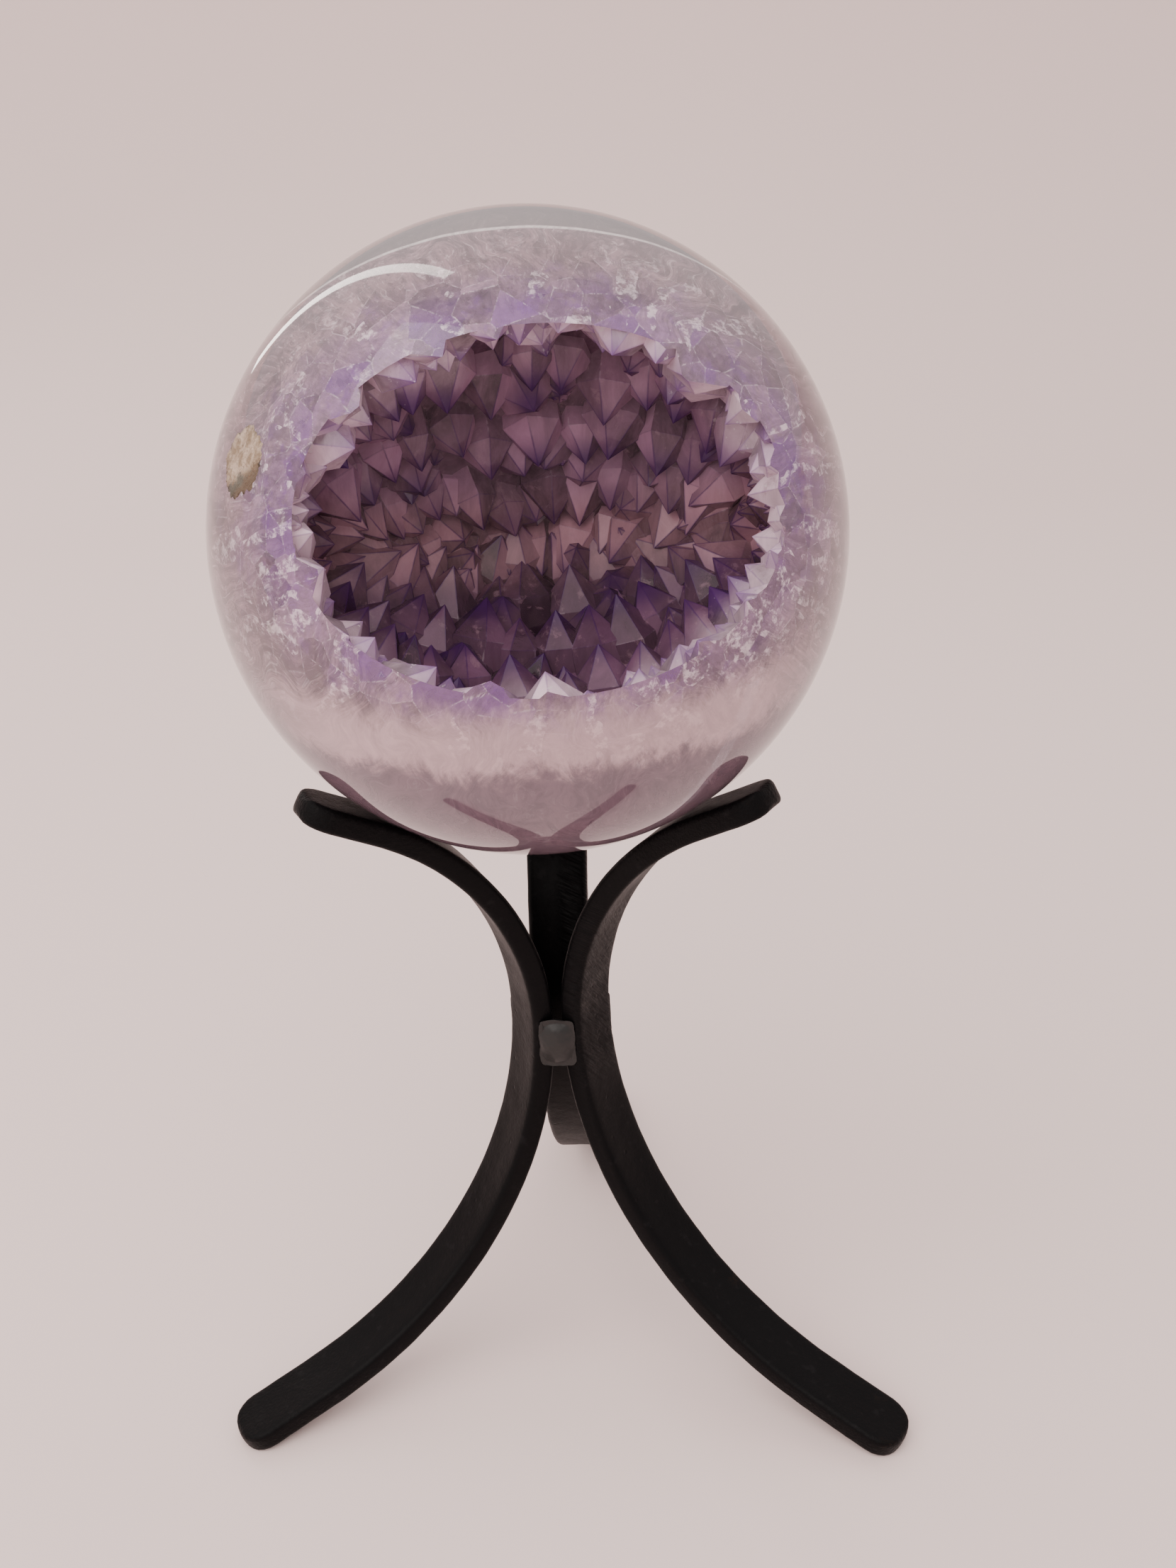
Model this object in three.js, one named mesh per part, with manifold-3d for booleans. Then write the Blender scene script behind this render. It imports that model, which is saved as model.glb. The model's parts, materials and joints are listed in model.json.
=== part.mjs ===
// A polished amethyst geode ball with a crystal-lined hollow, resting on a three-legged iron stand.
// Millimetres, +Z up, the hollow faces -Y. The origin is the bottom centre of the bounding box.

import * as THREE from 'three';
import { mergeVertices } from 'three/addons/utils/BufferGeometryUtils.js';
import Module from 'manifold-3d';

const wasm = await Module();
wasm.setup();

// Driving dimensions
const BALL_DIAMETER = 115;
const BAR_WIDTH = 12.7;
const BAR_THICKNESS = 4.8;
const CONTACT_GAP = 0.3;

// The polished ball: how finely its outside and its hollow are faceted
const BALL_RADIUS = BALL_DIAMETER / 2;
const BALL_DETAIL = 9;
const HOLLOW_DETAIL = 4;

// The hollow is an egg whose axis leans up out of the ball towards its mouth. Behind its widest section
// its roof and floor close in by a share of their height and sag a little, like a wedge
const HOLLOW_AZIMUTH = -87;
const HOLLOW_ELEVATION = 20;
const HOLLOW_CENTRE = 31;
const HOLLOW_HALF_WIDTH = 45.5;
const HOLLOW_HALF_HEIGHT = 38.5;
const HOLLOW_HALF_DEPTH = 38;
const HOLLOW_WEDGE = 0.42;
const HOLLOW_SAG = 3;

// Step on the unit sphere over which the wall's slope is taken
const WALL_STEP = 0.01;

// The crystal lining: a thin skin over the hollow's wall, with pointed crystals standing on it
const LINING_THICKNESS = 4.4;
const LINING_DETAIL = 2;
const CRYSTAL_COUNT = 152;
const CRYSTAL_SIDES = 6;
const CRYSTAL_RADIUS = { least: 4.6, most: 6.1 };
const CRYSTAL_SHANK = { least: 3.6, most: 5.2 };
const CRYSTAL_POINT_SLOPE = 1.12;
const CRYSTAL_LEAN = 0.2;
const CRYSTAL_SCATTER = 0.22;
const CRYSTAL_ROOT = 2;
const CRYSTAL_SEED = 11;

// A patch of pale calcite set in the ball's left side, level with its skin
const PATCH_AZIMUTH = -149;
const PATCH_ELEVATION = 23.5;
const PATCH_SIZE = { across: 14, tall: 13, deep: 7 };
const PATCH_DETAIL = 3;
const PATCH_ROUGHNESS = 0.16;
const PATCH_SEED = 5;

// The stand: three bent flat bars, spread evenly about the axis
const LEG_AZIMUTHS = { leg_left: -156, leg_right: -36, leg_back: 84 };
const WAIST_RADIUS = 4;
const SHANK_BEND_RADIUS = 81;
const SHANK_BEND_ANGLE = 72.5;
const FOOT_LENGTH = 19;
const ARM_BEND_RADIUS = 61;
const ARM_BEND_ANGLE = 60.5;
const TIP_LENGTH = 15;
const BAR_END_RADIUS = 4;
const BAR_EDGE_RADIUS = 1.2;
const FOOT_FLAT_DEPTH = 0.8;
const BEND_STEP = 6.5;

// Weld blocks that fill the grooves between neighbouring bars at the waist
const WELD_AZIMUTHS = { weld_front: -96, weld_right: 24, weld_left: 144 };
const WELD_HEIGHT = 11.6;
const WELD_BELOW_WAIST = 9.6;
const WELD_HALF_WIDTH = 4.3;
const WELD_CROWN = 0.9;
const WELD_BEVEL = 1.1;

const COLOURS = {
  quartz: { color: 0xb9adb8, roughness: 0.08, metalness: 0 },
  amethyst: { color: 0x6d5478, roughness: 0.2, metalness: 0 },
  calcite: { color: 0xc2ac8a, roughness: 0.7, metalness: 0 },
  iron: { color: 0x17161a, roughness: 0.5, metalness: 0.3 },
};

const Y_AXIS = new THREE.Vector3(0, 1, 0);
const Z_AXIS = new THREE.Vector3(0, 0, 1);

function radians(degrees) {
  return THREE.MathUtils.degToRad(degrees);
}

// A repeatable source of numbers from 0 to 1
function randomSource(seed) {
  let state = seed;
  return () => {
    state = (state * 16807) % 2147483647;
    return state / 2147483647;
  };
}

function between(random, range) {
  return range.least + (range.most - range.least) * random();
}

function directionAt(azimuth, elevation) {
  const flat = Math.cos(radians(elevation));
  return new THREE.Vector3(
    flat * Math.cos(radians(azimuth)), flat * Math.sin(radians(azimuth)), Math.sin(radians(elevation)),
  );
}

// A frame whose Z runs along a direction and whose X stays level
function levelFrame(direction) {
  const across = new THREE.Vector3().crossVectors(Z_AXIS, direction).normalize();
  const up = new THREE.Vector3().crossVectors(direction, across);
  return new THREE.Matrix4().makeBasis(across, up, direction);
}

function toSolid(geometry) {
  geometry.deleteAttribute('normal');
  geometry.deleteAttribute('uv');
  const welded = mergeVertices(geometry, 1e-4);
  const mesh = new wasm.Mesh({
    numProp: 3,
    vertProperties: Float32Array.from(welded.attributes.position.array),
    triVerts: Uint32Array.from(welded.index.array),
  });
  return new wasm.Manifold(mesh);
}

// The largest closed skin of a solid, without loose chips and sealed pockets
function outerSkin(solid) {
  const parts = solid.decompose();
  return parts.reduce((largest, part) => (part.volume() > largest.volume() ? part : largest));
}

function toGeometry(solid) {
  const mesh = solid.getMesh();
  const geometry = new THREE.BufferGeometry();
  geometry.setAttribute('position', new THREE.BufferAttribute(mesh.vertProperties, mesh.numProp));
  geometry.setIndex(new THREE.BufferAttribute(mesh.triVerts, 1));
  return geometry;
}

// A closed body through a row of outlines that all have the same number of points
function ringBody(rings) {
  const sides = rings[0].length;
  const points = rings.flat();
  const faces = [];
  for (let row = 0; row + 1 < rings.length; row += 1) {
    for (let side = 0; side < sides; side += 1) {
      const here = row * sides + side;
      const next = row * sides + ((side + 1) % sides);
      faces.push(here, next, next + sides, here, next + sides, here + sides);
    }
  }
  const last = (rings.length - 1) * sides;
  for (let side = 1; side + 1 < sides; side += 1) {
    faces.push(0, side + 1, side, last, last + side, last + side + 1);
  }
  const geometry = new THREE.BufferGeometry().setFromPoints(points);
  geometry.setIndex(faces);
  return geometry;
}

// The hollow

const hollowDirection = directionAt(HOLLOW_AZIMUTH, HOLLOW_ELEVATION);
const hollowFrame = levelFrame(hollowDirection).setPosition(
  hollowDirection.clone().multiplyScalar(HOLLOW_CENTRE),
);

// The place on the hollow's wall, in the hollow's frame, that a point of a unit sphere maps to
function wallPoint(unit, inset = 0) {
  const back = Math.max(-unit.z, 0);
  return new THREE.Vector3(
    unit.x * (HOLLOW_HALF_WIDTH - inset),
    unit.y * (HOLLOW_HALF_HEIGHT - inset) * (1 - HOLLOW_WEDGE * back) - HOLLOW_SAG * back,
    unit.z * (HOLLOW_HALF_DEPTH - inset),
  );
}

// The direction square to the wall there, into the hollow
function wallInward(unit) {
  const side = new THREE.Vector3().crossVectors(Math.abs(unit.y) < 0.9 ? Y_AXIS : Z_AXIS, unit).normalize();
  const rise = new THREE.Vector3().crossVectors(unit, side);
  const [sideways, upwards] = [side, rise].map((tangent) => {
    const ahead = unit.clone().addScaledVector(tangent, WALL_STEP).normalize();
    const behind = unit.clone().addScaledVector(tangent, -WALL_STEP).normalize();
    return wallPoint(ahead).sub(wallPoint(behind));
  });
  return new THREE.Vector3().crossVectors(upwards, sideways).normalize();
}

// The hollow's egg, drawn in from the wall by a distance
function eggSolid(inset, detail = HOLLOW_DETAIL) {
  const geometry = new THREE.IcosahedronGeometry(1, detail);
  const position = geometry.attributes.position;
  for (let index = 0; index < position.count; index += 1) {
    const place = wallPoint(new THREE.Vector3().fromBufferAttribute(position, index), inset);
    position.setXYZ(index, place.x, place.y, place.z);
  }
  geometry.applyMatrix4(hollowFrame);
  return toSolid(geometry);
}

function ballSolid(radius) {
  return toSolid(new THREE.IcosahedronGeometry(radius, BALL_DETAIL));
}

// Roots of the crystals: an even spiral of points over the egg, nudged at random
function crystalRoots(random) {
  const turn = Math.PI * (3 - Math.sqrt(5));
  const nudge = CRYSTAL_SCATTER * Math.sqrt((4 * Math.PI) / CRYSTAL_COUNT);
  const roots = [];
  for (let index = 0; index < CRYSTAL_COUNT; index += 1) {
    const height = 1 - (2 * index + 1) / CRYSTAL_COUNT;
    const ring = Math.sqrt(1 - height * height);
    const unit = new THREE.Vector3(ring * Math.cos(turn * index), ring * Math.sin(turn * index), height);
    unit.x += nudge * (random() - 0.5) * 2;
    unit.y += nudge * (random() - 0.5) * 2;
    unit.z += nudge * (random() - 0.5) * 2;
    roots.push(unit.normalize());
  }
  return roots;
}

// One crystal: a six-sided shank with a six-sided point, rooted inside the lining's skin
function crystalSolid(unit, random) {
  const radius = between(random, CRYSTAL_RADIUS);
  const shank = between(random, CRYSTAL_SHANK);
  const spin = random() * Math.PI;
  const lean = new THREE.Vector3(random() - 0.5, random() - 0.5, random() - 0.5);
  const outline = [
    new THREE.Vector2(0, CRYSTAL_ROOT),
    new THREE.Vector2(radius, CRYSTAL_ROOT),
    new THREE.Vector2(radius, shank),
    new THREE.Vector2(0, shank + radius * CRYSTAL_POINT_SLOPE),
  ];
  const geometry = new THREE.LatheGeometry(outline, CRYSTAL_SIDES, spin);
  const root = wallPoint(unit);
  const inward = wallInward(unit).addScaledVector(lean, 2 * CRYSTAL_LEAN).normalize();
  geometry.applyQuaternion(new THREE.Quaternion().setFromUnitVectors(Y_AXIS, inward));
  geometry.translate(root.x, root.y, root.z);
  geometry.applyMatrix4(hollowFrame);
  return toSolid(geometry);
}

function crystalLining() {
  const random = randomSource(CRYSTAL_SEED);
  const reach = BALL_RADIUS + CRYSTAL_RADIUS.most / 2;
  const crystals = [];
  for (const unit of crystalRoots(random)) {
    const crystal = crystalSolid(unit, random);
    if (wallPoint(unit).applyMatrix4(hollowFrame).length() < reach) {
      crystals.push(crystal);
    }
  }
  const wall = eggSolid(CONTACT_GAP);
  const skin = wall.subtract(eggSolid(LINING_THICKNESS, LINING_DETAIL));
  const grown = crystals.reduce((joined, crystal) => joined.add(crystal), skin);
  return outerSkin(grown.intersect(wall).intersect(ballSolid(BALL_RADIUS)).subtract(patchSolid(CONTACT_GAP)));
}

// The calcite patch

// A knobbly pebble, grown by a margin, where the patch lies
function patchSolid(margin) {
  const random = randomSource(PATCH_SEED);
  const pebble = new THREE.IcosahedronGeometry(1, PATCH_DETAIL);
  pebble.deleteAttribute('normal');
  pebble.deleteAttribute('uv');
  const welded = mergeVertices(pebble, 1e-4);
  const position = welded.attributes.position;
  const halves = new THREE.Vector3(PATCH_SIZE.across, PATCH_SIZE.tall, PATCH_SIZE.deep).multiplyScalar(0.5);
  for (let index = 0; index < position.count; index += 1) {
    const point = new THREE.Vector3().fromBufferAttribute(position, index);
    const swell = 1 + PATCH_ROUGHNESS * (random() - 0.5);
    point.multiply(halves.clone().multiplyScalar(swell).addScalar(margin));
    position.setXYZ(index, point.x, point.y, point.z);
  }
  const direction = directionAt(PATCH_AZIMUTH, PATCH_ELEVATION);
  welded.applyMatrix4(levelFrame(direction).setPosition(direction.clone().multiplyScalar(BALL_RADIUS)));
  return toSolid(welded);
}

function calcitePatch() {
  return patchSolid(0).intersect(ballSolid(BALL_RADIUS));
}

function quartzBall() {
  return ballSolid(BALL_RADIUS).subtract(eggSolid(0)).subtract(patchSolid(CONTACT_GAP));
}

// The stand

const legHeight = SHANK_BEND_RADIUS * Math.sin(radians(SHANK_BEND_ANGLE))
  + FOOT_LENGTH * Math.cos(radians(SHANK_BEND_ANGLE));
const waistHeight = legHeight - FOOT_FLAT_DEPTH;
const armReach = WAIST_RADIUS + ARM_BEND_RADIUS;
const ballHeight = waistHeight
  + Math.sqrt((ARM_BEND_RADIUS + BALL_RADIUS + CONTACT_GAP) ** 2 - armReach ** 2);

// Places along the bar's inner face, from foot to tip: radius, height, and the angle of its outward side
function barStations() {
  const endSteps = [0, 0.1, 0.35, 1].map((share) => share * BAR_END_RADIUS);
  const places = [];
  const shankEnd = {
    r: WAIST_RADIUS + SHANK_BEND_RADIUS * (1 - Math.cos(radians(SHANK_BEND_ANGLE))),
    z: waistHeight - SHANK_BEND_RADIUS * Math.sin(radians(SHANK_BEND_ANGLE)),
  };
  for (const step of endSteps) {
    const along = FOOT_LENGTH - step;
    places.push({
      r: shankEnd.r + along * Math.sin(radians(SHANK_BEND_ANGLE)),
      z: shankEnd.z - along * Math.cos(radians(SHANK_BEND_ANGLE)),
      tilt: SHANK_BEND_ANGLE,
      fromEnd: step,
    });
  }
  const shankSteps = Math.round(SHANK_BEND_ANGLE / BEND_STEP);
  for (let step = 0; step < shankSteps; step += 1) {
    const angle = SHANK_BEND_ANGLE * (1 - step / shankSteps);
    places.push({
      r: WAIST_RADIUS + SHANK_BEND_RADIUS * (1 - Math.cos(radians(angle))),
      z: waistHeight - SHANK_BEND_RADIUS * Math.sin(radians(angle)),
      tilt: angle,
      fromEnd: BAR_END_RADIUS,
    });
  }
  const armSteps = Math.round(ARM_BEND_ANGLE / BEND_STEP);
  for (let step = 0; step <= armSteps; step += 1) {
    const angle = (ARM_BEND_ANGLE * step) / armSteps;
    places.push({
      r: WAIST_RADIUS + ARM_BEND_RADIUS * (1 - Math.cos(radians(angle))),
      z: waistHeight + ARM_BEND_RADIUS * Math.sin(radians(angle)),
      tilt: -angle,
      fromEnd: BAR_END_RADIUS,
    });
  }
  const armEnd = places[places.length - 1];
  for (const step of [...endSteps].reverse()) {
    const along = TIP_LENGTH - step;
    places.push({
      r: armEnd.r + along * Math.sin(radians(ARM_BEND_ANGLE)),
      z: armEnd.z + along * Math.cos(radians(ARM_BEND_ANGLE)),
      tilt: -ARM_BEND_ANGLE,
      fromEnd: step,
    });
  }
  return places;
}

// How far an edge rounded with a radius draws in, at a distance from the bar's end
function drawIn(radius, fromEnd) {
  const rest = Math.max(radius - fromEnd, 0);
  return radius - Math.sqrt(radius * radius - rest * rest);
}

// The bar's cut with rounded corners, as points across its width and through its thickness
function barOutline(fromEnd) {
  const halfWidth = BAR_WIDTH / 2 - drawIn(BAR_END_RADIUS, fromEnd);
  const low = drawIn(BAR_EDGE_RADIUS, fromEnd);
  const high = BAR_THICKNESS - low;
  const edge = Math.min(BAR_EDGE_RADIUS, (high - low) / 2 - 0.05);
  const corners = [
    { x: halfWidth - edge, y: low + edge, from: -90 },
    { x: halfWidth - edge, y: high - edge, from: 0 },
    { x: edge - halfWidth, y: high - edge, from: 90 },
    { x: edge - halfWidth, y: low + edge, from: 180 },
  ];
  return corners.flatMap(({ x, y, from }) => [0, 45, 90].map((turn) => new THREE.Vector2(
    x + edge * Math.cos(radians(from + turn)), y + edge * Math.sin(radians(from + turn)),
  )));
}

// One leg, bent out both ways from the waist, with its foot ground flat on the floor
function legSolid(azimuth) {
  const away = directionAt(azimuth, 0);
  const aside = new THREE.Vector3().crossVectors(away, Z_AXIS);
  const rings = barStations().map(({ r, z, tilt, fromEnd }) => {
    const inner = away.clone().multiplyScalar(r).setZ(z);
    const outward = away.clone().multiplyScalar(Math.cos(radians(tilt)));
    outward.z = Math.sin(radians(tilt));
    return barOutline(fromEnd).map((point) => (
      inner.clone().addScaledVector(aside, point.x).addScaledVector(outward, point.y)
    ));
  });
  const floor = new THREE.BoxGeometry(2 * BALL_DIAMETER, 2 * BALL_DIAMETER, BALL_DIAMETER);
  floor.translate(0, 0, -BALL_DIAMETER / 2);
  return toSolid(ringBody(rings)).subtract(toSolid(floor));
}

// One weld block: a wedge between two bars' edges with a crowned face, bevelled above and below
function weldSolid(azimuth) {
  const away = directionAt(azimuth, 0);
  const aside = new THREE.Vector3().crossVectors(Z_AXIS, away);
  const slope = Math.tan(radians(30));
  const root = (BAR_WIDTH / 2 + CONTACT_GAP) / Math.cos(radians(30));
  const shoulder = root + WELD_HALF_WIDTH * slope;
  const foot = waistHeight - WELD_BELOW_WAIST;
  const levels = [
    { z: foot, inset: WELD_BEVEL },
    { z: foot + WELD_BEVEL, inset: 0 },
    { z: foot + WELD_HEIGHT - WELD_BEVEL, inset: 0 },
    { z: foot + WELD_HEIGHT, inset: WELD_BEVEL },
  ];
  const rings = levels.map(({ z, inset }) => {
    const half = WELD_HALF_WIDTH - inset / 2;
    const face = shoulder + WELD_CROWN - inset;
    const outline = [
      new THREE.Vector2(root, 0),
      new THREE.Vector2(shoulder - inset / 2, -half),
      new THREE.Vector2(face - WELD_CROWN / 4, -half * 0.6),
      new THREE.Vector2(face, 0),
      new THREE.Vector2(face - WELD_CROWN / 4, half * 0.6),
      new THREE.Vector2(shoulder - inset / 2, half),
    ];
    return outline.map((point) => (
      away.clone().multiplyScalar(point.x).addScaledVector(aside, point.y).setZ(z)
    ));
  });
  return toSolid(ringBody(rings));
}

function meshOf(name, solid, colour) {
  const mesh = new THREE.Mesh(toGeometry(solid), new THREE.MeshStandardMaterial(colour));
  mesh.name = name;
  return mesh;
}

const stand = new THREE.Group();
for (const [name, azimuth] of Object.entries(LEG_AZIMUTHS)) {
  stand.add(meshOf(name, legSolid(azimuth), COLOURS.iron));
}
for (const [name, azimuth] of Object.entries(WELD_AZIMUTHS)) {
  stand.add(meshOf(name, weldSolid(azimuth), COLOURS.iron));
}

const ball = new THREE.Group();
ball.add(meshOf('quartz_ball', quartzBall(), COLOURS.quartz));
ball.add(meshOf('crystal_lining', crystalLining(), COLOURS.amethyst));
ball.add(meshOf('calcite_patch', calcitePatch(), COLOURS.calcite));
ball.position.z = ballHeight;

const group = new THREE.Group();
group.add(stand, ball);
const bounds = new THREE.Box3().setFromObject(group, true);
const middle = bounds.getCenter(new THREE.Vector3());
group.position.set(-middle.x, -middle.y, 0);

export default group;
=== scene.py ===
"""Dresses the amethyst ball and its iron stand: see-through quartz, crystals, painted bars and welds."""

import json
import math
import random

import bmesh
import bpy
import numpy as np
from bpy.props import FloatProperty, FloatVectorProperty, IntProperty, PointerProperty
from mathutils import Matrix, Vector, noise

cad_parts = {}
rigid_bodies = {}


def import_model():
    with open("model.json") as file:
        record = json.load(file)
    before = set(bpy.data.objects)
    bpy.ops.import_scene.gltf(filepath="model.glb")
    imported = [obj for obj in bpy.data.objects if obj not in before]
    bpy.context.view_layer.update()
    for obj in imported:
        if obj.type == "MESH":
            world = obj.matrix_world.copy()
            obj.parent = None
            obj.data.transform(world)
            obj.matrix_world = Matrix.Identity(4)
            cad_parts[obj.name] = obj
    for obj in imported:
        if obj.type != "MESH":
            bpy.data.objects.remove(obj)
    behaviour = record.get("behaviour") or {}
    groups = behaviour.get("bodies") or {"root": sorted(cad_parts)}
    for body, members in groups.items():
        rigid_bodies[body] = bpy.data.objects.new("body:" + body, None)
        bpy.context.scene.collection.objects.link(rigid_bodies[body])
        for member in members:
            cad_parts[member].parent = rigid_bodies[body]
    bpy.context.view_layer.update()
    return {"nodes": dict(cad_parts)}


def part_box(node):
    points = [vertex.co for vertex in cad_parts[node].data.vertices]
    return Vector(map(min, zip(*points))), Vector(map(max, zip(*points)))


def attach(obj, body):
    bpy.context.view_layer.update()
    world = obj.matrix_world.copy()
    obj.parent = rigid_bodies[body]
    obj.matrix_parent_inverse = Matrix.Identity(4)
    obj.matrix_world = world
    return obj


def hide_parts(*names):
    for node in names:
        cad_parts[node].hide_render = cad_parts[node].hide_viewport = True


bl_info = {
    "name": "Amethyst Ball on a Stand",
    "version": (1, 0, 0),
    "blender": (4, 5, 0),
    "location": "View3D > Sidebar > Amethyst",
    "description": "Builds a polished amethyst geode ball on its bent iron stand",
    "category": "Object",
}

MM = 0.001
UP = Vector((0, 0, 1))
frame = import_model()

# The ball's centre and size come from its solid, whose front is cut open by the hollow
BALL_LOW, BALL_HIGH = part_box("quartz_ball")
BALL_RADIUS = (BALL_HIGH.x - BALL_LOW.x) / 2
BALL_CENTRE = Vector((
    (BALL_LOW.x + BALL_HIGH.x) / 2,
    BALL_HIGH.y - BALL_RADIUS,
    (BALL_LOW.z + BALL_HIGH.z) / 2,
))

# The visible stone stays behind the front of the lining's solid
LIP_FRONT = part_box("crystal_lining")[0].y

PATCH_AZIMUTH = math.radians(-149)
PATCH_ELEVATION = math.radians(23.5)
LEG_AZIMUTHS = {"leg_left": -156, "leg_right": -36, "leg_back": 84}
WELDS = ("weld_front", "weld_right", "weld_left")

# Turns of the rows of crystals from the hollow's deepest line, down its floor and up its roof
ROW_TURNS = (14, 34, 54, 74, -16, -36, -56, -76)

# Start of the run of numbers that gives the large crystals their tones
TONE_SEED = 97

# Places along a bar: steps round its two bends and the length of a step on its straight ends
LEG_STEPS = 72
ARM_STEPS = 48
RUN_STEP = 1.5 * MM

# How strongly quartz bends light
QUARTZ_IOR = 1.54

# The crown's painted reflection, a grey crescent standing in for the dark room seen through the clear top:
# the way it faces, and how far along that way it starts, in ball radii
CROWN_WAY = (0, 0.795, 0.606)
CROWN_START = 0.36

# Middle height of the welds, and of the grinding marks round them
WELD_HEIGHT = 88 * MM
GRIND_HEIGHT = 90 * MM

# A weld's even cells, rounds of smoothing, and radius of its swell times two
WELD_CELL = 0.28 * MM
WELD_ROUNDS = 40
WELD_SWELL = 18 * MM

# Tones of the facets, the polished skin, the crust and the paint, with the tones of painted light and
# shade on them
# Painted reflection: pink streaks of light inside the facets
PAINTED_INNER_REFLECTION = (0.30, 0.175, 0.225)
PALE_EDGE = (0.66, 0.54, 0.62)
GLINT = (0.88, 0.80, 0.84)
CRYSTAL_TINT = (0.84, 0.76, 0.87)
THIN_MILK = (0.175, 0.125, 0.145)
SMOKE = (0.10, 0.070, 0.085)
FROST = (0.68, 0.55, 0.585)
SPLINTER = (0.80, 0.69, 0.74)
SEAM = (0.78, 0.66, 0.74)
# Painted shade on the ball's lower part
UNDERSIDE_SHADE = (0.135, 0.090, 0.120)
# Painted reflection and painted highlight of the crown's crescent
CROWN_PAINTED_REFLECTION = (0.17, 0.150, 0.156)
CROWN_PAINTED_HIGHLIGHT = (0.80, 0.74, 0.74)
STONE_DEPTH = (0.74, 0.64, 0.78, 1.0)
CRUST_PALE = (0.50, 0.375, 0.285)
CRUST_SPECK = (0.13, 0.085, 0.05)
CRUST_BROWN = (0.13, 0.075, 0.04)
# Painted sheen on the black paint
PAINTED_SHEEN = (0.012, 0.011, 0.012)
LAMP_COLOUR = (1.0, 0.92, 0.86)


def kind_of_setting(make, **fixed):
    """A function that makes settings of one kind from their name, description and default"""

    def setting(name, description, default):
        return make(name=name, description=description, default=default, **fixed)

    return setting


number = kind_of_setting(FloatProperty)
whole = kind_of_setting(IntProperty)
length = kind_of_setting(FloatProperty, unit="LENGTH")
share = kind_of_setting(FloatProperty, subtype="FACTOR")
turned = kind_of_setting(FloatProperty, subtype="ANGLE")
colour = kind_of_setting(FloatVectorProperty, subtype="COLOR", min=0, max=1)


def angle(name, description, degrees):
    return turned(name, description, math.radians(degrees))


class AMETHYST_PG_hollow(bpy.types.PropertyGroup):
    """The hollow: an egg that closes in like a wedge behind its widest section"""

    azimuth: angle("Azimuth", "Way that the mouth faces", -87)
    elevation: angle("Elevation", "How far the mouth looks up", 20)
    centre: length("Centre", "Widest section, from the ball's centre", 31 * MM)
    half_width: length("Half width", "Half of the hollow's width", 45.5 * MM)
    half_height: length("Half height", "Half of the hollow's height", 38.5 * MM)
    half_depth: length("Half depth", "Half of the hollow's depth", 38 * MM)
    wedge: share("Wedge", "How far roof and floor close in at the back", 0.42)
    sag: length("Sag", "Drop of the deepest line", 3 * MM)
    skin: length("Skin", "Thickness of crystal over the wall", 4.4 * MM)


class AMETHYST_PG_crystals(bpy.types.PropertyGroup):
    """The crystals that line the hollow"""

    count: whole("Count", "Large crystals over the whole egg", 152)
    small_count: whole("Small count", "Small crystals between", 620)
    rim_count: whole("Rim count", "Crystals in each of the two rows round the mouth", 31)
    radius_least: length("Least radius", "Thinnest large crystal", 4.6 * MM)
    radius_most: length("Most radius", "Thickest large crystal", 6.1 * MM)
    shank_least: length("Least shank", "Shortest large shank", 3.6 * MM)
    shank_most: length("Most shank", "Longest large shank", 5.2 * MM)
    slope: number("Slope", "Height of a point over its radius", 1.12)
    lean: share("Lean", "How far crystals lean at random", 0.2)
    scatter: share("Scatter", "How far roots are nudged", 0.22)
    root: length("Root", "Start of a crystal inside the wall", 2 * MM)
    poke: length("Poke", "Least height of a tip over the crystal it grows through", 1.6 * MM)
    seed: whole("Seed", "Start of the random numbers", 11)


class AMETHYST_PG_stand(bpy.types.PropertyGroup):
    """The three bent bars"""

    bar_width: length("Bar width", "Width of the flat bar", 12.7 * MM)
    bar_thickness: length("Bar thickness", "Thickness of the flat bar", 4.8 * MM)
    waist_radius: length("Waist radius", "Axis to the bars' inner faces", 4 * MM)
    shank_radius: length("Leg bend radius", "Bend of the leg's inner face", 81 * MM)
    shank_angle: angle("Leg bend angle", "Turn of the leg's bend", 72.5)
    foot_length: length("Foot length", "Straight end of a leg", 19 * MM)
    arm_radius: length("Arm bend radius", "Bend of the arm's inner face", 61 * MM)
    arm_angle: angle("Arm bend angle", "Turn of the arm's bend", 60.5)
    tip_length: length("Tip length", "Straight end of an arm", 15 * MM)
    end_radius: length("End radius", "Rounding of the bar's ends", 5.6 * MM)
    edge_radius: length("Edge radius", "Rounding of the bar's edges", 1.2 * MM)
    foot_flat: length("Foot flat", "Depth ground off each foot", 0.8 * MM)
    lumps: length("Lumps", "Height of lumps in the paint", 0.12 * MM)


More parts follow.
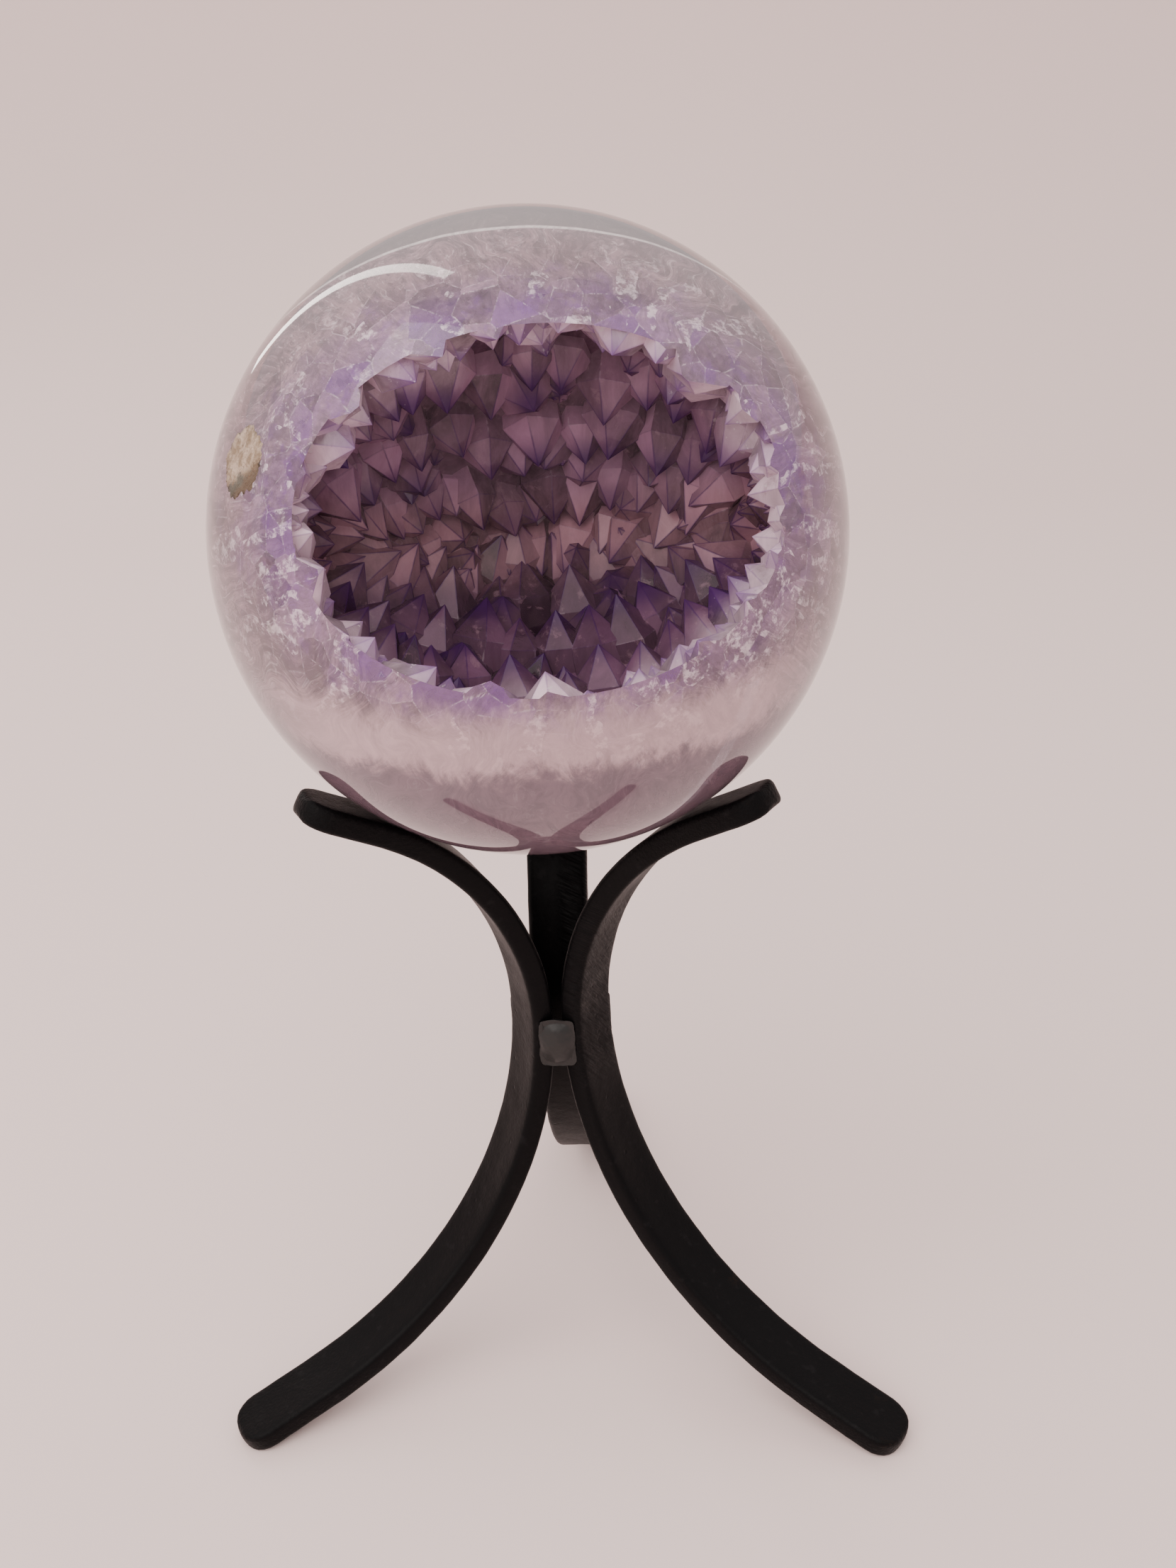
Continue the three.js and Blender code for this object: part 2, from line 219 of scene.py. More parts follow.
class AMETHYST_PG_colours(bpy.types.PropertyGroup):
    """Colours of the stone, the crust and the iron"""

    clear: colour("Clear quartz", "Tint of the polished skin", (0.70, 0.60, 0.64))
    milk: colour("Milky quartz", "Cloudy parts of the stone", (0.31, 0.205, 0.235))
    lilac: colour("Lilac", "Cloudy stone with a purple cast", (0.27, 0.155, 0.295))
    band: colour("White band", "Milky band under the mouth", (0.56, 0.39, 0.42))
    purple: colour("Deep purple", "Crystal tips", (0.050, 0.014, 0.085))
    roof: colour("Roof", "Facets of the hollow's roof", (0.240, 0.128, 0.200))
    back: colour("Back", "Facets of the hollow's deepest part", (0.265, 0.140, 0.172))
    floor: colour("Floor", "Facets of the hollow's floor", (0.098, 0.046, 0.084))
    paint: colour("Paint", "Black paint on the iron", (0.0026, 0.0024, 0.0028))
    worn: colour("Worn paint", "Rubbed brownish patches", (0.018, 0.011, 0.008))
    calcite: colour("Calcite", "Pale crust in the ball's side", (0.24, 0.165, 0.10))
    violet: colour("Violet", "Clear crystal edges round the mouth", (0.20, 0.070, 0.34))
    # Partly the crystals' own pale lilac, partly painted light shining through them from behind
    rim: colour("Rim", "Clear lilac crystals round the mouth", (0.70, 0.54, 0.63))
    stain: colour("Stain", "Dark greenish part of the crust", (0.035, 0.04, 0.028))


class AMETHYST_PG_stage(bpy.types.PropertyGroup):
    """The floor, the lights and the camera"""

    floor_size: length("Floor size", "Side of the floor", 6.0)
    wall_back: length("Wall back", "Backdrop's distance behind the axis", 1.1)
    wall_height: length("Wall height", "Backdrop's top edge over the floor", 0.46)
    cove: length("Cove", "Bend between floor and backdrop", 0.42)
    floor_colour: colour("Floor", "Pale floor", (0.80, 0.655, 0.635))
    sky: number("Sky", "Strength of the soft light all round", 1.45)
    camera_back: length("Camera back", "Camera's distance in front of the axis", 277.5 * MM)
    camera_height: length("Camera height", "Camera's height over the floor", 259.0 * MM)
    pitch: angle("Pitch", "Camera's tilt", -24.6)
    yaw: angle("Yaw", "Camera's turn to the right", 1.7)
    roll: angle("Roll", "Camera's roll", -2.96)


def sum_method(operation, swapped=False):
    """A method that adds a Math node for this socket and the others it is given"""

    def method(self, *others):
        terms = (*others, self) if swapped else (self, *others)
        return self.graph.node("ShaderNodeMath", {"operation": operation}, dict(enumerate(terms)))

    return method


class Value:
    """A shader socket that takes part in sums with other sockets and with numbers"""

    def __init__(self, graph, socket):
        self.graph = graph
        self.socket = socket

    __add__ = sum_method("ADD")
    __radd__ = sum_method("ADD", swapped=True)
    __sub__ = sum_method("SUBTRACT")
    __rsub__ = sum_method("SUBTRACT", swapped=True)
    __mul__ = sum_method("MULTIPLY")
    __rmul__ = sum_method("MULTIPLY", swapped=True)
    __truediv__ = sum_method("DIVIDE")
    __pow__ = sum_method("POWER")
    least = sum_method("MINIMUM")
    most = sum_method("MAXIMUM")
    size = sum_method("ABSOLUTE")


class Graph:
    """The node tree of a material or world, with methods that add nodes and give back their outputs"""

    def __init__(self, owner, output="ShaderNodeOutputMaterial"):
        owner.use_nodes = True
        self.owner = owner
        self.tree = owner.node_tree
        self.tree.nodes.clear()
        self.output = self.tree.nodes.new(output)

    def node(self, kind, settings=None, sockets=None, output=0):
        made = self.tree.nodes.new(kind)
        for key, setting in (settings or {}).items():
            if key != "stops":
                setattr(made, key, setting)
                continue
            elements = made.color_ramp.elements
            while len(elements) < len(setting):
                elements.new(0.5)
            for element, (place, tone) in zip(elements, setting):
                element.position = place
                element.color = (*tone, 1.0)
        for key, term in (sockets or {}).items():
            if isinstance(term, Value):
                self.tree.links.new(term.socket, made.inputs[key])
            else:
                made.inputs[key].default_value = term
        return Value(self, made.outputs[output])

    def place(self):
        """Where a point lies in the row frame, in metres"""
        return self.node("ShaderNodeTexCoord", output="Object")

    def channels(self, colour):
        """The three numbers that make up a colour"""
        split = self.node("ShaderNodeSeparateColor", None, {"Color": colour}).socket.node
        return [Value(self, split.outputs[index]) for index in range(3)]

    def vector_maths(self, operation, vector, by, output=0):
        return self.node(
            "ShaderNodeVectorMath", {"operation": operation}, {0: vector, 1: tuple(by)}, output
        )

    def dot(self, vector, axis):
        return self.vector_maths("DOT_PRODUCT", vector, axis, "Value")

    def shift(self, vector, by):
        return self.vector_maths("SUBTRACT", vector, by)

    def stretch(self, vector, by):
        return self.vector_maths("MULTIPLY", vector, by)

    def vector(self, x, y, z):
        return self.node("ShaderNodeCombineXYZ", None, {0: x, 1: y, 2: z})

    def noise(self, vector, scale, detail=3.0, roughness=0.55, distortion=0.0):
        return self.node("ShaderNodeTexNoise", None, {
            "Vector": vector, "Scale": scale, "Detail": detail, "Roughness": roughness,
            "Distortion": distortion,
        })

    def cells(self, vector, scale, feature="F1", output="Distance"):
        return self.node(
            "ShaderNodeTexVoronoi", {"feature": feature}, {"Vector": vector, "Scale": scale}, output
        )

    def ramp(self, value, low, high, start=0.0, end=1.0):
        """Smooth change from start to end as value goes from low to high"""
        return self.node(
            "ShaderNodeMapRange",
            {"interpolation_type": "SMOOTHSTEP"},
            {"Value": value, "From Min": low, "From Max": high, "To Min": start, "To Max": end},
        )

    def blend(self, factor, first, second, way="MIX"):
        """Mix of two colours"""
        first, second = [
            term if isinstance(term, Value) else (*term, 1.0) for term in (first, second)
        ]
        return self.node(
            "ShaderNodeMix",
            {"data_type": "RGBA", "blend_type": way, "clamp_factor": True},
            {0: factor, 6: first, 7: second},
            2,
        )

    def mix(self, factor, first, second):
        """Mix of two numbers"""
        return self.node("ShaderNodeMix", {"data_type": "FLOAT"}, {0: factor, 2: first, 3: second})

    def grey(self, value):
        """The same number in all three channels of a colour"""
        return self.node("ShaderNodeCombineColor", None, {0: value, 1: value, 2: value})

    def bump(self, height, strength, distance, below=None):
        sockets = {"Height": height, "Strength": strength, "Distance": distance}
        if below is not None:
            sockets["Normal"] = below
        return self.node("ShaderNodeBump", None, sockets)

    def principled(self, **sockets):
        named = {key.replace("_", " "): term for key, term in sockets.items()}
        return self.node("ShaderNodeBsdfPrincipled", None, named)

    def finish(self, surface, volume=None):
        self.tree.links.new(surface.socket, self.output.inputs["Surface"])
        if volume is not None:
            self.tree.links.new(volume.socket, self.output.inputs["Volume"])
        return self.owner


def settings():
    return bpy.context.scene.amethyst


def direction_at(azimuth, elevation):
    flat = math.cos(elevation)
    return Vector((flat * math.cos(azimuth), flat * math.sin(azimuth), math.sin(elevation)))


def axes_at(azimuth, elevation):
    """Across, up and outward directions at a place on the ball"""
    outward = direction_at(azimuth, elevation)
    across = UP.cross(outward).normalized()
    return across, outward.cross(across), outward


def hollow_axes(hollow):
    return axes_at(hollow.azimuth, hollow.elevation)


def hollow_frame(hollow):
    """The hollow's frame, measured from the ball's centre"""
    across, up, outward = hollow_axes(hollow)
    turn = Matrix((across, up, outward)).transposed().to_4x4()
    return Matrix.Translation(outward * hollow.centre) @ turn


def wall_point(hollow, unit, inset=0.0):
    """The place on the hollow's wall, in the hollow's frame, that a point of a unit sphere maps to"""
    back = max(-unit.z, 0.0)
    return Vector((
        unit.x * (hollow.half_width - inset),
        unit.y * (hollow.half_height - inset) * (1 - hollow.wedge * back) - hollow.sag * back,
        unit.z * (hollow.half_depth - inset),
    ))


def wall_inward(hollow, unit):
    """The direction square to the wall there, into the hollow"""
    step = 0.01
    side = Vector((0, 1, 0) if abs(unit.y) < 0.9 else (0, 0, 1)).cross(unit).normalized()
    rise = unit.cross(side)
    spans = [
        wall_point(hollow, (unit + step * along).normalized())
        - wall_point(hollow, (unit - step * along).normalized())
        for along in (side, rise)
    ]
    return spans[1].cross(spans[0]).normalized()


def number_source(seed):
    """A repeatable source of numbers from 0 to 1"""
    state = seed
    while True:
        state = (state * 16807) % 2147483647
        yield state / 2147483647


class Crystal:
    """One six-sided crystal with a point: where it stands and how big it is"""

    SIDES = 6

    def __init__(self, root, inward, radius, shank, slope, spin, tone):
        self.root = root
        self.turn = Vector((0, 1, 0)).rotation_difference(inward).to_matrix()
        self.radius = radius
        self.shank = shank
        self.height = shank + radius * slope
        self.spin = spin
        self.tone = tone

    def mesh(self, start):
        """Corners and faces, from the place start along the crystal's axis"""
        corners = []
        for level in (start, self.shank):
            for side in range(self.SIDES):
                turn = self.spin + side * math.tau / self.SIDES
                corners.append((self.radius * math.sin(turn), level, self.radius * math.cos(turn)))
        corners.append((0, self.height, 0))
        ring = range(self.SIDES)
        faces = [tuple(reversed(ring))]
        for side in ring:
            after = (side + 1) % self.SIDES
            faces.append((side, after, after + self.SIDES, side + self.SIDES))
            faces.append((side + self.SIDES, after + self.SIDES, 2 * self.SIDES))
        placed = [self.root + self.turn @ Vector(corner) for corner in corners]
        return placed, faces


def jitter(draw):
    """A random nudge of up to 1 along each axis"""
    return Vector([draw.uniform(-1, 1) for _ in range(3)])


def sprout(draw, root, inward, radius, shank, slope):
    """A crystal turned about its axis at random, with a tone of its own"""
    return Crystal(root, inward, radius, shank, slope, draw.uniform(0, 3.1), draw.random())


def spiral_roots(crystals, numbers):
    """An even spiral of points over a unit sphere, nudged at random"""
    turn = math.pi * (3 - math.sqrt(5))
    nudge = crystals.scatter * math.sqrt(4 * math.pi / crystals.count)
    roots = []
    for index in range(crystals.count):
        height = 1 - (2 * index + 1) / crystals.count
        ring = math.sqrt(1 - height * height)
        unit = Vector((ring * math.cos(turn * index), ring * math.sin(turn * index), height))
        unit += nudge * 2 * Vector([next(numbers) - 0.5 for _ in range(3)])
        roots.append(unit.normalized())
    return roots


def large_crystals(hollow, crystals):
    """The crystals of the lining's solid, from the same run of random numbers"""
    numbers = number_source(crystals.seed)
    tones = number_source(TONE_SEED)
    place = hollow_frame(hollow)
    reach = BALL_RADIUS + crystals.radius_most / 2
    for unit in spiral_roots(crystals, numbers):
        radius = crystals.radius_least + (crystals.radius_most - crystals.radius_least) * next(numbers)
        shank = crystals.shank_least + (crystals.shank_most - crystals.shank_least) * next(numbers)
        spin = next(numbers) * math.pi
        lean = Vector([next(numbers) - 0.5 for _ in range(3)])
        root = place @ wall_point(hollow, unit)
        inward = (wall_inward(hollow, unit) + 2 * crystals.lean * lean).normalized()
        if root.length < reach:
            inward = place.to_3x3() @ inward
            yield Crystal(root, inward, radius, shank, crystals.slope, spin, next(tones))


def small_crystals(hollow, crystals):
    """Smaller crystals that fill the gaps between the large ones"""
    place = hollow_frame(hollow)
    draw = random.Random(crystals.seed)
    grown = []
    while len(grown) < crystals.small_count:
        unit = Vector([draw.gauss(0, 1) for _ in range(3)]).normalized()
        root = place @ wall_point(hollow, unit)
        radius = draw.uniform(0.36, 0.80) * crystals.radius_least
        shank = hollow.skin + draw.uniform(-0.25, 0.25) * crystals.shank_least
        lean = jitter(draw) * 0.3
        if root.length < BALL_RADIUS + radius:
            inward = place.to_3x3() @ (wall_inward(hollow, unit) + lean).normalized()
            grown.append(sprout(draw, root, inward, radius, shank, crystals.slope * 1.1))
    return grown


def row_crystals(hollow, crystals):
    """Rows across the hollow's floor and roof, their points up from the floor and down from the roof"""
    place = hollow_frame(hollow)
    draw = random.Random(crystals.seed + 2)
    for degrees in ROW_TURNS:
        side = -58 + draw.uniform(0, 5)
        while side < 60:
            psi = math.radians(side)
            phi = math.radians(degrees + draw.uniform(-5, 5))
            unit = Vector((
                math.sin(psi), -math.cos(psi) * math.sin(phi), -math.cos(psi) * math.cos(phi)
            ))
            inward = wall_inward(hollow, unit)
            inward = Vector((inward.x * 0.7, inward.y, inward.z * 0.3)).normalized()
            inward += jitter(draw) * 0.16
            radius = draw.uniform(0.92, 1.38) * crystals.radius_least
            shank = draw.uniform(0.85, 1.45) * crystals.shank_most
            yield sprout(
                draw, place @ wall_point(hollow, unit), place.to_3x3() @ inward.normalized(),
                radius, shank, crystals.slope * 1.05,
            )
            side += draw.uniform(7.5, 11.5)


def rim_crystals(hollow, crystals):
    """Crystals that lie along the polished skin round the mouth, their points towards its middle"""
    place = hollow_frame(hollow)
    axis = hollow_axes(hollow)[2]
    draw = random.Random(crystals.seed + 1)
    for index in range(2 * crystals.rim_count):
        turn = math.tau * (index + draw.uniform(-0.3, 0.3)) / crystals.rim_count
        flush = index < crystals.rim_count
        depth = BALL_RADIUS - (draw.uniform(0.2, 2.2) if flush else draw.uniform(4.5, 8.0)) * MM
        near, far = 0.0, math.pi / 2
        while far - near > 0.001:
            tilt = (near + far) / 2
            ring = math.sin(tilt)
            unit = Vector((ring * math.cos(turn), ring * math.sin(turn), math.cos(tilt)))
            root = place @ wall_point(hollow, unit)
            near, far = (tilt, far) if root.length > depth else (near, tilt)
        outward = root.normalized()
        inward = (axis - outward * axis.dot(outward)).normalized()
        lean = jitter(draw) * 0.2
        inward = (inward - outward * draw.uniform(0.0, 0.22) + lean).normalized()
        radius = draw.uniform(0.85, 1.45) * crystals.radius_least
        shank = draw.uniform(1.0, 2.1) * crystals.shank_most
        yield sprout(draw, root, inward, radius, shank, crystals.slope)


def new_object(name, data):
    made = bpy.data.objects.new(name, data)
    bpy.context.scene.collection.objects.link(made)
    return made


def mesh_from(name, corners, faces):
    mesh = bpy.data.meshes.new(name)
    mesh.from_pydata([tuple(corner) for corner in corners], [], faces)
    mesh.update()
    return mesh


def applied(made):
    """A copy of an object's mesh with its modifiers applied"""
    seen = made.evaluated_get(bpy.context.evaluated_depsgraph_get())
    return bpy.data.meshes.new_from_object(seen)


def shade_smooth(mesh, flat=0):
    """Shades every face smooth, but for the last few"""
    count = len(mesh.polygons) - flat
    mesh.polygons.foreach_set("use_smooth", [True] * count + [False] * flat)


def sphere_mesh(name, fineness, move):
    """An even sphere of triangles, each corner of the unit sphere moved by a function"""
    work = bmesh.new()
    bmesh.ops.create_icosphere(work, subdivisions=fineness, radius=1.0)
    for corner in work.verts:
        corner.co = move(corner.co.normalized())
    mesh = bpy.data.meshes.new(name)
    work.to_mesh(mesh)
    work.free()
    return mesh


def combine(target, operation, other=None, group=None):
    """Joins or cuts the target's mesh for good"""
    modifier = target.modifiers.new("combine", "BOOLEAN")
    modifier.solver = "MANIFOLD"
    modifier.operation = operation
    if group is not None:
        modifier.operand_type = "COLLECTION"
        modifier.collection = group
    else:
        modifier.object = other
    result = applied(target)
    target.modifiers.remove(modifier)
    target.data = result
    if not result.polygons:
        raise RuntimeError(f"{operation} left nothing of {target.name}")


def discard(*objects):
    for made in objects:
        bpy.data.objects.remove(made)


def pebble_mesh():
    """The crust's lump, in the ball's side, measured from the ball's centre"""
    across, rise, outward = axes_at(PATCH_AZIMUTH, PATCH_ELEVATION)
    halves = (6.4 * MM, 5.6 * MM, 3.4 * MM)

    def move(unit):
        swell = 1 + 0.20 * noise.noise(unit * 1.7 + Vector((3, 1, 7))) + 0.13 * noise.noise(unit * 5)
        swell += 0.10 * noise.noise(unit * 13)
        return (
            outward * (BALL_RADIUS + unit.z * halves[2] * swell)
            + across * unit.x * halves[0] * swell
            + rise * unit.y * halves[1] * swell
        )

    return sphere_mesh("pebble", 5, move)


def crystal_group(grown, start):
    """Every crystal as an object of a collection, its faces marked with its number"""
    group = bpy.data.collections.new("crystals")
    bpy.context.scene.collection.children.link(group)
    for index, crystal in enumerate(grown):
        mesh = mesh_from("crystal", *crystal.mesh(start))
        marks = mesh.attributes.new("crystal", "INT", "FACE")
        marks.data.foreach_set("value", [index + 1] * len(mesh.polygons))
        group.objects.link(bpy.data.objects.new("crystal", mesh))
    return group


def is_covered(crystal, others, margin):
    """Whether a crystal's tip ends inside another crystal, or pokes out of it by less than a margin"""
    tip = crystal.root + crystal.turn @ Vector((0, crystal.height, 0))
    for other in others:
        local = other.turn.transposed() @ (tip - other.root)
        taper = (other.height + margin - local.y) / (other.height - other.shank)
        reach = (other.radius + margin * 0.5) * min(max(taper, 0.0), 1.0)
        if local.y > 0 and math.hypot(local.x, local.z) < reach:
            return True
    return False


def stone_body(hollow, crystals):
    """The stone in one closed mesh, measured from the ball's centre, and its list of crystals"""
    place = hollow_frame(hollow)
    long_crystals = [*row_crystals(hollow, crystals), *rim_crystals(hollow, crystals)]
    grown = [
        crystal for crystal in [*large_crystals(hollow, crystals), *small_crystals(hollow, crystals)]
        if not is_covered(crystal, long_crystals, crystals.poke)
    ] + long_crystals
    ball = new_object("ball", sphere_mesh("ball", 6, lambda unit: unit * BALL_RADIUS))
    skin = new_object("skin", ball.data.copy())
    egg = new_object(
        "egg", sphere_mesh("egg", 5, lambda unit: place @ wall_point(hollow, unit, hollow.skin))
    )
    pebble = new_object("pebble", pebble_mesh())
    group = crystal_group(grown, crystals.root - 1.5 * MM)
    combine(ball, "DIFFERENCE", egg)
    combine(ball, "UNION", group=group)
    combine(ball, "INTERSECT", skin)
    combine(ball, "DIFFERENCE", pebble)
    discard(skin, egg, pebble, *group.objects)
    bpy.data.collections.remove(group)
    return ball, grown


def read_all(layer, key, width=1, kind=np.float32):
    """Every value of a mesh layer, in rows where each has more than one number"""
    values = np.zeros(len(layer) * width, kind)
    layer.foreach_get(key, values)
    return values.reshape(-1, width) if width > 1 else values


def write_corners(mesh, name, *channels):
    layer = mesh.attributes.new(name, "FLOAT_COLOR", "CORNER")
    layer.data.foreach_set("color", np.stack(channels, 1).astype(np.float32).ravel())


def mark_facets(mesh, grown, outside):
    """Writes, on each corner of a face inside, its distance from the facet's edges and its height"""
    marks = read_all(mesh.attributes["crystal"].data, "value", kind=np.int32)
    face_of = np.repeat(np.arange(len(marks)), read_all(mesh.polygons, "loop_total", kind=np.int32))
    places = read_all(mesh.vertices, "co", 3)[read_all(mesh.loops, "vertex_index", kind=np.int32)]
    middles = read_all(mesh.polygons, "center", 3)

    number = marks[face_of] - 1
    on_crystal = number >= 0
    number = np.maximum(number, 0)
    roots = np.array([crystal.root for crystal in grown])
    turns = np.array([np.array(crystal.turn) for crystal in grown])
    spins, heights, shanks, tones = np.array([
        (crystal.spin, crystal.height, crystal.shank, crystal.tone) for crystal in grown
    ]).T
    sixth = math.tau / Crystal.SIDES

    local = np.einsum("nij,ni->nj", turns[number], places - roots[number])
    middle = np.einsum("nij,ni->nj", turns[number], middles[face_of] - roots[number])
    way = np.arctan2(middle[:, 0], middle[:, 2]) - spins[number]
    side = np.floor(way / sixth)
    first = spins[number] + side * sixth
    last = first + sixth
    left = local[:, 0] * np.cos(first) - local[:, 2] * np.sin(first)
    right = local[:, 2] * np.sin(last) - local[:, 0] * np.cos(last)
    shoulder = np.abs(local[:, 1] - shanks[number])
    tip = np.clip(local[:, 1] / heights[number], 0, 1)

    inner = ~np.array(outside)[face_of]

    # The wall between crystals counts as far from an edge and not near a tip
    far = 5.0
    left, right, tip = np.where(on_crystal, (left / MM, right / MM, tip), ((far,), (far,), (0.0,)))
    write_corners(mesh, "facet", left, right, tip, inner)
    # Painted shade: a random brightness for each facet, as if it caught the light from its own side
    facet_shade = (np.sin((number * 7 + side) * 12.9898) * 43758.5453) % 1.0
    write_corners(mesh, "habit", tones[number], facet_shade, shoulder / MM, np.ones(len(number)))


def polish(mesh):
    """Shades the ball's skin as a true sphere, and leaves the facets flat"""
    edge = BALL_RADIUS - 0.06 * MM
    near = [vertex.co.length > edge for vertex in mesh.vertices]
    outside = [
        all(near[index] for index in face.vertices) and face.normal.dot(face.center.normalized()) > 0.99
        for face in mesh.polygons
    ]
    mesh.polygons.foreach_set("use_smooth", outside)
    normals = [None] * len(mesh.loops)
    for face, is_outside in zip(mesh.polygons, outside):
        for loop in face.loop_indices:
            corner = mesh.vertices[mesh.loops[loop].vertex_index].co
            normals[loop] = corner.normalized() if is_outside else face.normal.copy()
    mesh.normals_split_custom_set(normals)
    return outside


def stone_material(hollow, colours):
    """See-through quartz with milky parts, purple crystal points and fine edges, and painted light and
    shade on the facets and skin
    """
    graph = Graph(bpy.data.materials.new("polished_amethyst"))
    ramp = graph.ramp
    blend = graph.blend
    across, up, outward = hollow_axes(hollow)
    place = graph.stretch(graph.shift(graph.place(), BALL_CENTRE), (1 / BALL_RADIUS,) * 3)
    aside = graph.dot(place, across)
    rise = graph.dot(place, up)
    ahead = graph.dot(place, outward)

    facet = graph.node("ShaderNodeAttribute", {"attribute_name": "facet"}, None, "Color")
    left, right, tip = graph.channels(facet)
    within = Value(graph, facet.socket.node.outputs["Alpha"])
    habit = graph.node("ShaderNodeAttribute", {"attribute_name": "habit"}, None, "Color")
    tone, facet_shade, shoulder = graph.channels(habit)

    # Crystal faces inside the hollow
    fine = graph.noise(place, 26, 4, 0.6)
    broad = graph.noise(place, 3.2, 2, 0.5)
    wispy = graph.noise(graph.stretch(place, (1, 1, 0.4)), 11, 5, 0.7, 0.6)
    drift = broad - 0.5
    sway = wispy - 0.5
    edge = left.least(right).least(shoulder + 0.05)
    line = ramp(edge + (fine - 0.5) * 0.3, 0.02, 0.22, 1.0, 0.0)
    height = rise + drift * 0.10
    facets = blend(ramp(height, -0.20, -0.04), colours.floor, colours.back)
    facets = blend(ramp(height, 0.02, 0.20), facets, colours.roof)
    mouth = ((aside / 0.70) ** 2.0 + ((rise - 0.02) / 0.52) ** 2.0) ** 0.5
    near_rim = ramp(mouth + drift * 0.25, 0.66, 0.88) * ramp(ahead, 0.44, 0.62)
    # Facets round the mouth go pale: their own lilac, with painted light from behind
    facets = blend(near_rim * 0.9, facets, colours.rim)
    # Painted light and shade: each facet lighter or darker as if it caught the light from its own side, a
    # little lighter near the mouth, with wispy streaks
    shade = 0.40 + near_rim * 0.15 + facet_shade * 1.05 + sway * 1.3
    facets = blend(1.0, facets, graph.grey(shade.most(0.22)), "MULTIPLY")
    # Painted reflection: light pink streaks inside the facets, as if light bounced inside the crystals
    painted_inner_reflection_mask = ramp(graph.noise(place, 19, 5, 0.7, 0.4), 0.56, 0.68)
    facets = blend(painted_inner_reflection_mask * 0.4, facets, PAINTED_INNER_REFLECTION)
    reach = ramp(tip + (fine - 0.5) * 0.08 + (tone - 0.5) * 0.3, 0.68, 1.05)
    point = blend(near_rim, colours.purple, colours.violet)
    deepest = ramp(height, -0.20, -0.04) * ramp(height, 0.20, 0.02)
    facets = blend(reach * (0.9 - near_rim * 0.35 - deepest * 0.55), facets, point)
    dark_line = line * ramp(tip, 0.30, 0.75)
    facets = blend(dark_line * (0.7 - near_rim * 0.35), facets, point)
    pale_line = (line - dark_line) * ramp(wispy, 0.5, 0.62)
    facets = blend(pale_line * (0.25 + near_rim * 0.5), facets, PALE_EDGE)
    glint = ramp(graph.noise(place, 34, 3, 0.7), 0.64, 0.70) * near_rim
    facets = blend(glint * 0.7, facets, GLINT)

    # Polished skin: clear and purple round the mouth, then fibrous and cloudy quartz
    bend = drift * 0.5
    rays = graph.vector(
        (aside / 0.70 / mouth + bend) * 2.4, ((rise - 0.02) / 0.52 / mouth - bend) * 2.4,
        mouth * 0.75 + ahead * 0.6,
    )
    fibrous = ramp(ahead, -0.75, -0.25)
    streaks = graph.mix(fibrous, graph.noise(place, 7, 6, 0.72, 0.8), graph.noise(rays, 8, 6, 0.72, 0.3))
    wisps = graph.mix(fibrous, graph.noise(place, 16, 5, 0.7, 1.2), graph.noise(rays, 22, 4, 0.7, 0.8))
    zone = ramp(mouth + sway * 0.5, 1.52, 1.06) * ramp(ahead, 0.05, 0.35)
    purple_zone = ramp(mouth + sway * 0.6, 1.34, 0.95) * ramp(ahead, 0.1, 0.4)
    shard = graph.channels(graph.cells(rays, 6.5, "F1", "Color"))[0]
    section, second_section = graph.channels(graph.cells(place, 10, "F1", "Color"))[:2]
    broken = ramp(graph.noise(place, 30, 4, 0.7), 0.46, 0.62)
    splinters = ramp(shard + (wisps - 0.5) * 0.4, 0.66, 0.84) * broken
    seams = ramp(graph.cells(place, 10, "DISTANCE_TO_EDGE"), 0.0, 0.03, 1.0, 0.0)
    seams = seams * ramp(wisps, 0.45, 0.6)
    cloud = ramp(streaks, 0.36, 0.62)
    skin = blend(cloud, THIN_MILK, colours.milk)
    skin = blend(ramp(wisps, 0.52, 0.68) * 0.6, skin, SMOKE)
    skin = blend(ramp(wisps, 0.44, 0.32) * 0.5, skin, FROST)
    skin = blend(purple_zone * ramp(wispy, 0.35, 0.6, 0.35, 1.0), skin, colours.lilac)
    deep = purple_zone * ramp(graph.noise(place, 13, 4, 0.65), 0.52, 0.66)
    grain = graph.noise(place, 40, 5, 0.75)
    sections = graph.grey(1.0 + (section - 0.5) * zone * 0.7 + (grain - 0.5) * zone * 1.6)
    skin = blend(1.0, skin, sections, "MULTIPLY")
    skin = blend(deep * 0.55, skin, colours.violet)
    vivid = ramp(second_section + sway * 0.5, 0.60, 0.80) * ramp(mouth, 1.30, 1.02)
    skin = blend(vivid * purple_zone * 0.5, skin, colours.violet)
    skin = blend(splinters * zone * 0.6, skin, SPLINTER)
    skin = blend(seams * zone * 0.6, skin, SEAM)
    high = graph.dot(place, UP)
    drop = high + sway * 0.22 + (wisps - 0.5) * 0.06
    front = ramp(graph.dot(place, (0, -1, 0)), 0.42, 0.78)
    milky_band = ramp(drop, -0.13, -0.27) * ramp(drop, -0.46, -0.36) * front
    skin = blend(milky_band * 0.8, skin, colours.band)
    # Painted shade: the lower part of the ball darker and more cloudy
    painted_low_shade = ramp(drop, -0.36, -0.46)
    skin = blend(painted_low_shade * 0.8, skin, UNDERSIDE_SHADE)

